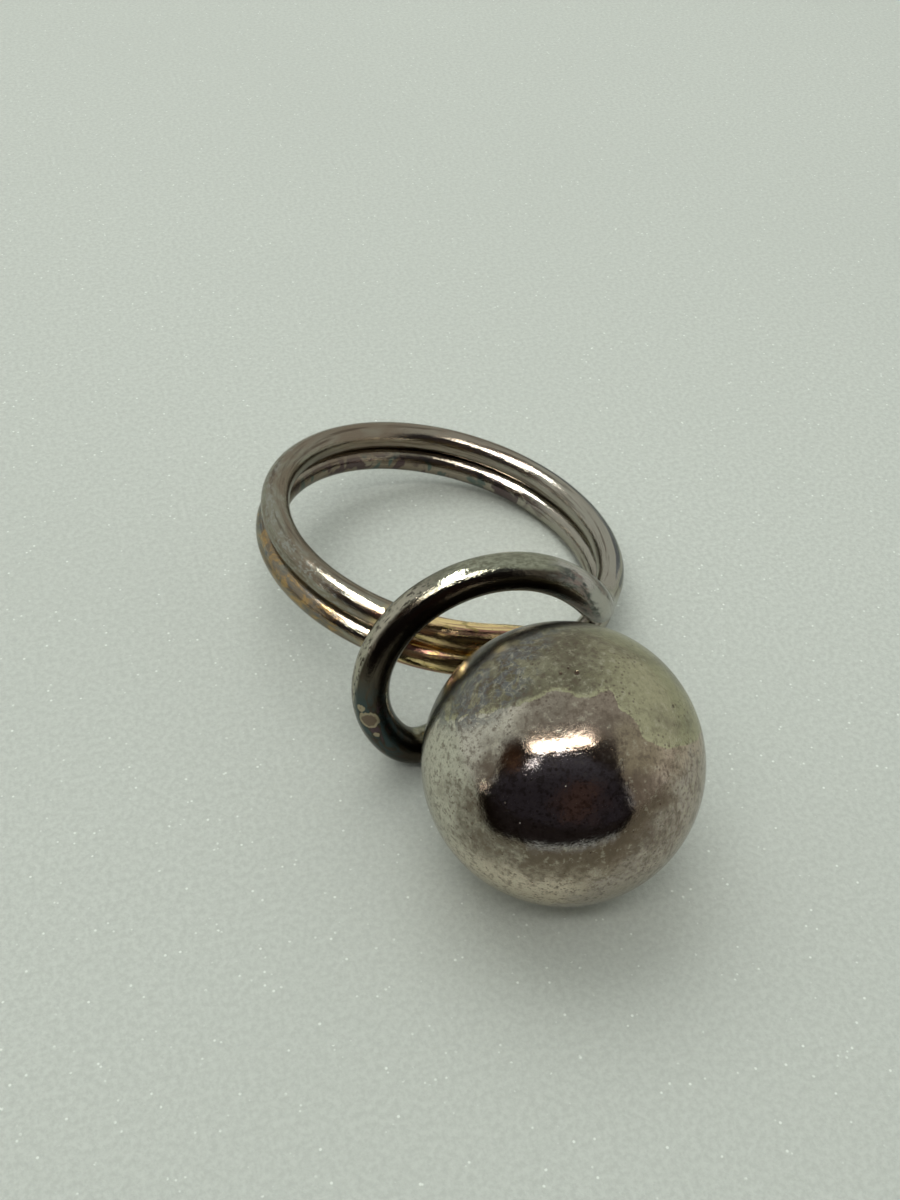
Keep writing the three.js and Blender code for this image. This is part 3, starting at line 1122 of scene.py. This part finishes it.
# From under the ball: where the mirrored floor goes dark, beyond a reach from a centre and between
# two sides, each given as a point on it and the direction out of the dark.
SHADE_COLOUR = (0.020, 0.016, 0.014)
SHADE_CENTRE = (0.0402, -0.0054, 0.0)
SHADE_REACH = 0.0726
SHADE_SOFT = 0.006
SHADE_SIDES = (((-0.032, -0.013, 0.0), (-0.05, 1.0, 0.0)), ((0.028, -0.077, 0.0), (0.845, 0.535, 0.0)))

# The light tent. Edges are where a softened edge starts and ends. Directions are to the right, up
# and towards the viewer.
TENT_WALL = (0.60, 0.615, 0.585)
TENT_TOP = (0.62, 0.645, 0.615)
FRONT_EDGE_LEFT = (-0.84, -0.79)
FRONT_EDGE_RIGHT = (0.695, 0.64)
FRONT_EDGE_TOP = (0.40, 0.35)
FRONT_EDGE_BACK = (-0.16, -0.06)
FRONT_LEFT_TILT = -0.227
FRONT_RIGHT_TILT = 0.192
FRONT_TOP_TILT = -0.01
FRONT_LOW = (0.032, 0.028, 0.031)
FRONT_HIGH = (0.095, 0.092, 0.10)
WARM_GLOW = (0.137, -0.417, 0.898)
WARM_COLOUR = (0.065, 0.040, 0.032)
BROWN_GLOW = (-0.716, 0.123, 0.686)
BROWN_COLOUR = (0.105, 0.062, 0.040)

# The strip of lamps over the dark front: its height, tilt and edges, and how strong it is in
# mirrors and on the floor.
LAMP_COLOUR = (1.0, 0.97, 0.93)
LAMP_UP = 0.352
LAMP_TILT = -0.131
LAMP_EDGE = (0.062, 0.045)
LAMP_LEFT = (-0.50, -0.45)
LAMP_RIGHT = (0.33, 0.28)
LAMP_STRENGTH = 22.0
LAMP_ON_FLOOR = 8.0

# Little lights beside the viewer that sparkle on the ball.
SPARKS = ((-0.912, -0.235, 0.335), (-0.417, 0.103, 0.90), (-0.507, 0.052, 0.86))
SPARK_EDGE = (0.020, 0.010)
SPARK_STRENGTH = 22.0

# A broad soft lamp behind the object, and a narrow one overhead that glints on the wire alone.
BROAD_PLACE = (-0.03, 0.16, 0.40)
BROAD_SIZE = (0.34, 0.26)
BROAD_POWER = 0.62
GLINT_AIM = (-0.2, 0.66, 0.72)
GLINT_AWAY = 0.40
GLINT_SIZE = (0.25, 0.06)
GLINT_POWER = 2.6


def viewer_direction(right, up, back):
    return right * view_right + up * view_up + back * view_back


def add_camera():
    data = bpy.data.cameras.new("photo_camera")
    data.lens = VIEW_LENS
    data.clip_start = CLIP_NEAR
    data.clip_end = CLIP_FAR
    camera = bpy.data.objects.new("photo_camera", data)
    turn = Matrix(np.stack([view_right, view_up, view_back], axis=1).tolist()).to_4x4()
    place = ball_centre + np.array(VIEW_PLACE)
    camera.matrix_world = Matrix.Translation(Vector(place * MM)) @ turn
    bpy.context.scene.collection.objects.link(camera)
    bpy.context.scene.camera = camera


def floor_colour(n, place, grain):
    """Fine grain, faint clouds and a few sparkles."""
    soft = n.noise(place, FLOOR_CLOUDS)
    colour = n.mix(n.step(grain, 0.3, 0.7), FLOOR_DARK, FLOOR_LIGHT)
    colour = n.mix(n.step(soft, 0.3, 0.7, 0.0, 0.25), colour, FLOOR_DARK)
    sparkle = n.step(n.voronoi(place, FLOOR_SPARKLES), 0.20, 0.08)
    groups = n.step(n.noise(place, FLOOR_SPARKLE_GROUPS), 0.52, 0.60)
    return n.paint(colour, FLOOR_SPARKLE, sparkle, groups)


def floor_shade(n, place):
    """Where the floor is dark in mirrors: 1 in the wedge before the ball, 0 elsewhere."""
    from_ball = n.away(place, ball_centre * MM)
    flat = n.scaled(from_ball, (1.0, 1.0, 0.0))
    shade = n.step(n.distance(flat, SHADE_CENTRE), SHADE_REACH - SHADE_SOFT, SHADE_REACH + SHADE_SOFT)
    for corner, outward in SHADE_SIDES:
        past = n.towards(n.away(from_ball, corner), outward)
        shade = n.times(shade, n.step(past, SHADE_SOFT, -SHADE_SOFT))
    return shade


def add_floor():
    """A plain pale sheet. Mirror rays see its near part dark, on the photographer's side: a painted shade
    standing in for the shadow of the phone and hands.
    """
    h = FLOOR_HALF / MM
    points = [(-h, -h, 0), (h, -h, 0), (h, h, 0), (-h, h, 0)]
    material, n = new_material("pale_sheet")
    place = n.node("ShaderNodeTexCoord").outputs["Object"]
    grain = n.noise(place, FLOOR_GRAINS, roughness=0.7)
    pale = n.node("ShaderNodeBsdfPrincipled")
    pale.inputs["Roughness"].default_value = FLOOR_ROUGHNESS
    n.feed(pale.inputs["Base Color"], floor_colour(n, place, grain))
    n.feed(pale.inputs["Normal"], n.bump(grain, FLOOR_BUMP))
    dark = n.node("ShaderNodeEmission")
    dark.inputs["Color"].default_value = (*SHADE_COLOUR, 1.0)
    mirrored = n.node("ShaderNodeLightPath").outputs["Is Glossy Ray"]
    pick = n.node("ShaderNodeMixShader")
    n.feed(pick.inputs[0], n.times(floor_shade(n, place), mirrored))
    n.tree.links.new(pale.outputs[0], pick.inputs[1])
    n.tree.links.new(dark.outputs[0], pick.inputs[2])
    output = n.node("ShaderNodeOutputMaterial")
    n.tree.links.new(pick.outputs[0], output.inputs["Surface"])
    floor = new_piece("floor", points, [(0, 1, 2, 3)], material, None)


def tent_colour(n, direction, x, y, z, wobble):
    """Pale walls and top, with a dark opening in front that glows warm in two places."""
    left = n.step(n.add(x, n.times(y, FRONT_LEFT_TILT), n.spread(wobble, 0.1)), *FRONT_EDGE_LEFT)
    right = n.step(n.add(x, n.times(y, FRONT_RIGHT_TILT), n.spread(wobble, 0.1)), *FRONT_EDGE_RIGHT)
    top = n.step(n.add(y, n.times(x, FRONT_TOP_TILT)), *FRONT_EDGE_TOP)
    opening = n.times(left, right, top, n.step(z, *FRONT_EDGE_BACK))
    shade = n.mix(n.step(y, -0.30, 0.34), FRONT_LOW, FRONT_HIGH)
    warm = n.distance(direction, viewer_direction(*WARM_GLOW))
    shade = n.mix(n.step(n.add(warm, n.spread(wobble, 0.8)), 0.40, 0.12), shade, WARM_COLOUR)
    brown = n.distance(direction, viewer_direction(*BROWN_GLOW))
    shade = n.mix(n.step(n.add(brown, n.spread(wobble, 0.3)), 0.26, 0.10), shade, BROWN_COLOUR)
    upright = n.towards(direction, (0.0, 0.0, 1.0))
    tent = n.mix(n.step(upright, 0.0, 0.9), TENT_WALL, TENT_TOP)
    return n.mix(opening, tent, shade)


def tent_lamps(n, direction, x, y, z, wobble):
    """How bright the strip of lamps and the sparks are in a direction."""
    slope = n.size_of(n.add(y, n.times(x, LAMP_TILT), -LAMP_UP, n.spread(wobble, 0.03)))
    lamp = n.times(n.step(slope, *LAMP_EDGE), n.step(x, *LAMP_LEFT), n.step(x, *LAMP_RIGHT))
    lamp = n.times(lamp, n.math("GREATER_THAN", z, 0.0))
    mirrored = n.node("ShaderNodeLightPath").outputs["Is Glossy Ray"]
    glow = n.times(lamp, n.step(mirrored, 0.0, 1.0, LAMP_ON_FLOOR, LAMP_STRENGTH))
    for spark in SPARKS:
        reach = n.distance(direction, unit(viewer_direction(*spark)))
        glow = n.add(glow, n.times(n.step(reach, *SPARK_EDGE), SPARK_STRENGTH))
    return glow


def add_world():
    """A white light tent with a dark front, where the photographer is, under a strip of lamps."""
    world = bpy.data.worlds.new("light_tent")
    bpy.context.scene.world = world
    world.use_nodes = True
    n = Nodes(world.node_tree)
    direction = n.node("ShaderNodeTexCoord").outputs["Generated"]
    x = n.towards(direction, view_right)
    y = n.towards(direction, view_up)
    z = n.towards(direction, view_back)
    wobble = n.noise(direction, 5.0, roughness=0.6)
    light = n.node("ShaderNodeBackground")
    n.feed(light.inputs["Color"], tent_colour(n, direction, x, y, z, wobble))
    strip = n.node("ShaderNodeBackground")
    strip.inputs["Color"].default_value = (*LAMP_COLOUR, 1.0)
    n.feed(strip.inputs["Strength"], tent_lamps(n, direction, x, y, z, wobble))
    both = n.node("ShaderNodeAddShader")
    n.tree.links.new(light.outputs[0], both.inputs[0])
    n.tree.links.new(strip.outputs[0], both.inputs[1])
    output = n.node("ShaderNodeOutputWorld")
    n.tree.links.new(both.outputs[0], output.inputs["Surface"])


def add_lamp(name, place, size, power):
    """A rectangular lamp that shines on the middle of the object."""
    data = bpy.data.lights.new(name, "AREA")
    data.shape = "RECTANGLE"
    data.size, data.size_y = size
    data.energy = power
    lamp = bpy.data.objects.new(name, data)
    lamp.location = place
    lamp.rotation_euler = (-Vector(place)).to_track_quat("-Z", "Y").to_euler()
    bpy.context.scene.collection.objects.link(lamp)
    return lamp


def add_lamps():
    broad = add_lamp("broad", BROAD_PLACE, BROAD_SIZE, BROAD_POWER)
    broad.visible_glossy = False
    glint = add_lamp("glint", viewer_direction(*GLINT_AIM) * GLINT_AWAY, GLINT_SIZE, GLINT_POWER)
    wires = bpy.data.collections.new("wires")
    wires.objects.link(wire)
    wires.objects.link(free_turn)
    glint.light_linking.receiver_collection = wires


bpy.context.scene.view_settings.view_transform = "Standard"
add_camera()
add_floor()
add_world()
add_lamps()
